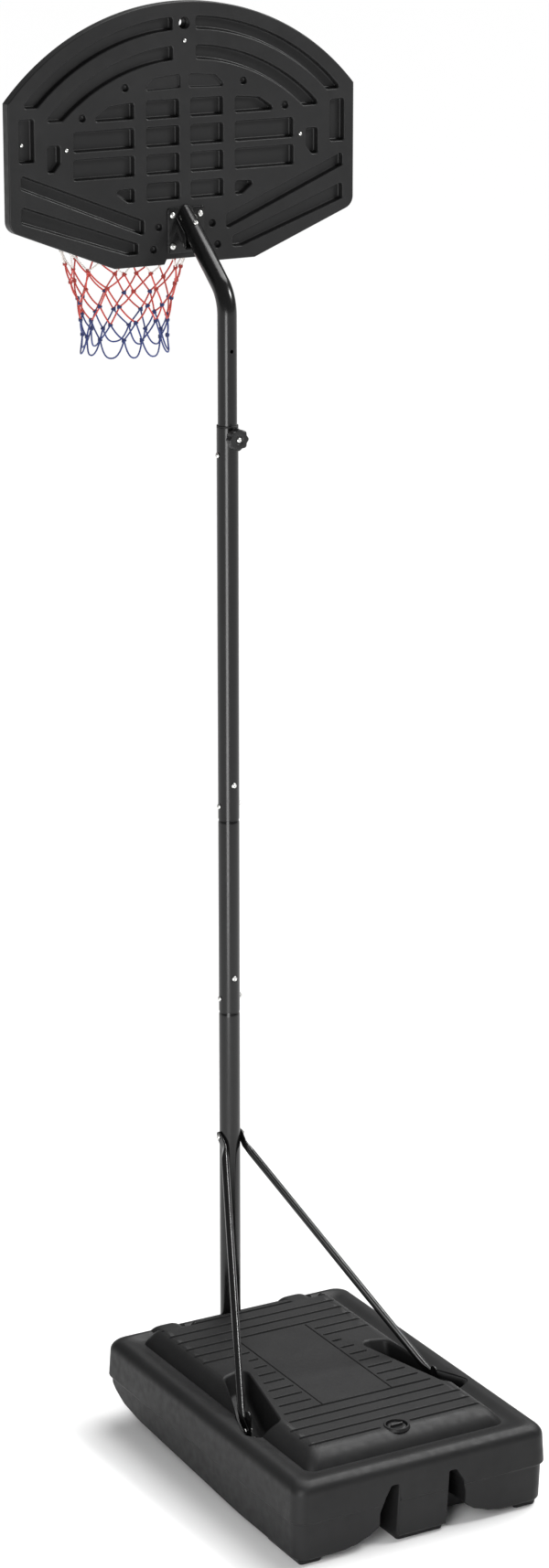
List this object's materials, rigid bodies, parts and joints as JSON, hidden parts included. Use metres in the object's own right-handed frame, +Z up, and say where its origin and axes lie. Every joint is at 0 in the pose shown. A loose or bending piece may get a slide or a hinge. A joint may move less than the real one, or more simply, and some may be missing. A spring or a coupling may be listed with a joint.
{
  "type": "basketball stand",
  "caption": "Portable basketball stand with a wheeled water tank, strutted sectional pole, height-adjusting top tube, moulded backboard, rim and net.",
  "frame": {"origin": "centre of the bounding box on the floor, below the middle of the stand's footprint", "axes": "+Z up; -Y the way the hoop and the board's front face; +X the left of the picture, along the wheel axle"},
  "size_m": [0.9, 1.6365, 3.373],
  "materials": {
    "tank_plastic": "fine moulded grain, satin",
    "board_plastic": "fine moulded grain, satin",
    "black_paint": "smooth black powder coat on steel",
    "black_plastic": "satin black",
    "rubber": "soft black rubber",
    "rim_paint": "orange powder coat on steel",
    "net_cord": "braided cord, white at the top, red in the middle, blue at the foot",
    "zinc": "bright zinc plate"
  },
  "bodies": {
    "base": {"base_tank": "tank_plastic", "pole_lower": "black_paint", "pole_middle": "black_paint", "pole_upper": "black_paint", "strut_left": "black_paint", "strut_right": "black_paint", "foot_bracket_left": "black_paint", "foot_bracket_right": "black_paint", "clamp_nut": "black_paint", "guide_bush": "black_plastic", "wheel_axle": "zinc", "axle_push_nut_left": "zinc", "axle_push_nut_right": "zinc", "joint_bolt_low_cross": "zinc", "joint_nut_low_cross": "zinc", "joint_bolt_low_rear": "zinc", "joint_nut_low_rear": "zinc", "joint_bolt_high_cross": "zinc", "joint_nut_high_cross": "zinc", "joint_bolt_high_rear": "zinc", "joint_nut_high_rear": "zinc", "strut_top_bolt": "zinc", "strut_top_nut": "zinc", "foot_bolt_left": "zinc", "foot_bolt_right": "zinc", "foot_nut_left": "zinc", "foot_nut_right": "zinc", "foot_screw_left": "zinc", "foot_screw_right": "zinc", "bush_screw": "zinc"},
    "wheel_left": {"wheel_left": "black_plastic"},
    "wheel_right": {"wheel_right": "black_plastic"},
    "knob_screw": {"knob_screw": "zinc"},
    "knob": {"height_knob": "black_plastic", "knob_insert": "zinc"},
    "gasket": {"cap_gasket": "rubber"},
    "cap": {"fill_cap": "black_plastic"},
    "head": {"top_tube": "black_paint", "arm_bracket": "black_paint", "arm_bolt": "zinc", "arm_nut": "zinc", "bracket_bolt_1": "zinc", "bracket_bolt_2": "zinc", "bracket_bolt_3": "zinc", "bracket_bolt_4": "zinc", "bracket_nut_1": "zinc", "bracket_nut_2": "zinc", "bracket_nut_3": "zinc", "bracket_nut_4": "zinc", "backboard": "board_plastic", "board_screw_top": "zinc", "board_screw_left": "zinc", "board_screw_right": "zinc", "board_screw_side": "zinc", "rim_ring": "rim_paint", "rim_bracket": "rim_paint", "rim_brace_left": "rim_paint", "rim_brace_right": "rim_paint", "net": "net_cord"}
  },
  "joints": [
    {"name": "wheel_left_spin", "type": "hinge", "parent": "base", "child": "wheel_left", "pos_m": [0.178, -0.10175, 0.0615], "axis": [1, 0, 0], "continuous": true},
    {"name": "wheel_right_spin", "type": "hinge", "parent": "base", "child": "wheel_right", "pos_m": [-0.178, -0.10175, 0.0615], "axis": [1, 0, 0], "continuous": true},
    {"name": "height_slide", "type": "slide", "parent": "base", "child": "head", "axis": [0, 0, 1], "range_m": [-0.2, 0.2]},
    {"name": "knob_travel", "type": "slide", "parent": "base", "child": "knob_screw", "axis": [0, 1, 0], "range_m": [0, 0.00801]},
    {"name": "knob_turn", "type": "hinge", "parent": "knob_screw", "child": "knob", "pos_m": [0, -0.10175, 2.4], "axis": [0, 1, 0], "range_deg": [0, 2304]},
    {"name": "cap_lift", "type": "slide", "parent": "base", "child": "gasket", "axis": [0, 0, 1], "range_m": [0, 0.06]},
    {"name": "cap_turn", "type": "hinge", "parent": "gasket", "child": "cap", "pos_m": [0, 0.69025, 0.222], "axis": [0, 0, 1], "range_deg": [0, 720]}
  ],
  "couplings": [
    {"joint": "knob_travel", "follows": "knob_turn", "m_per_rad": 0.00019894}
  ]
}
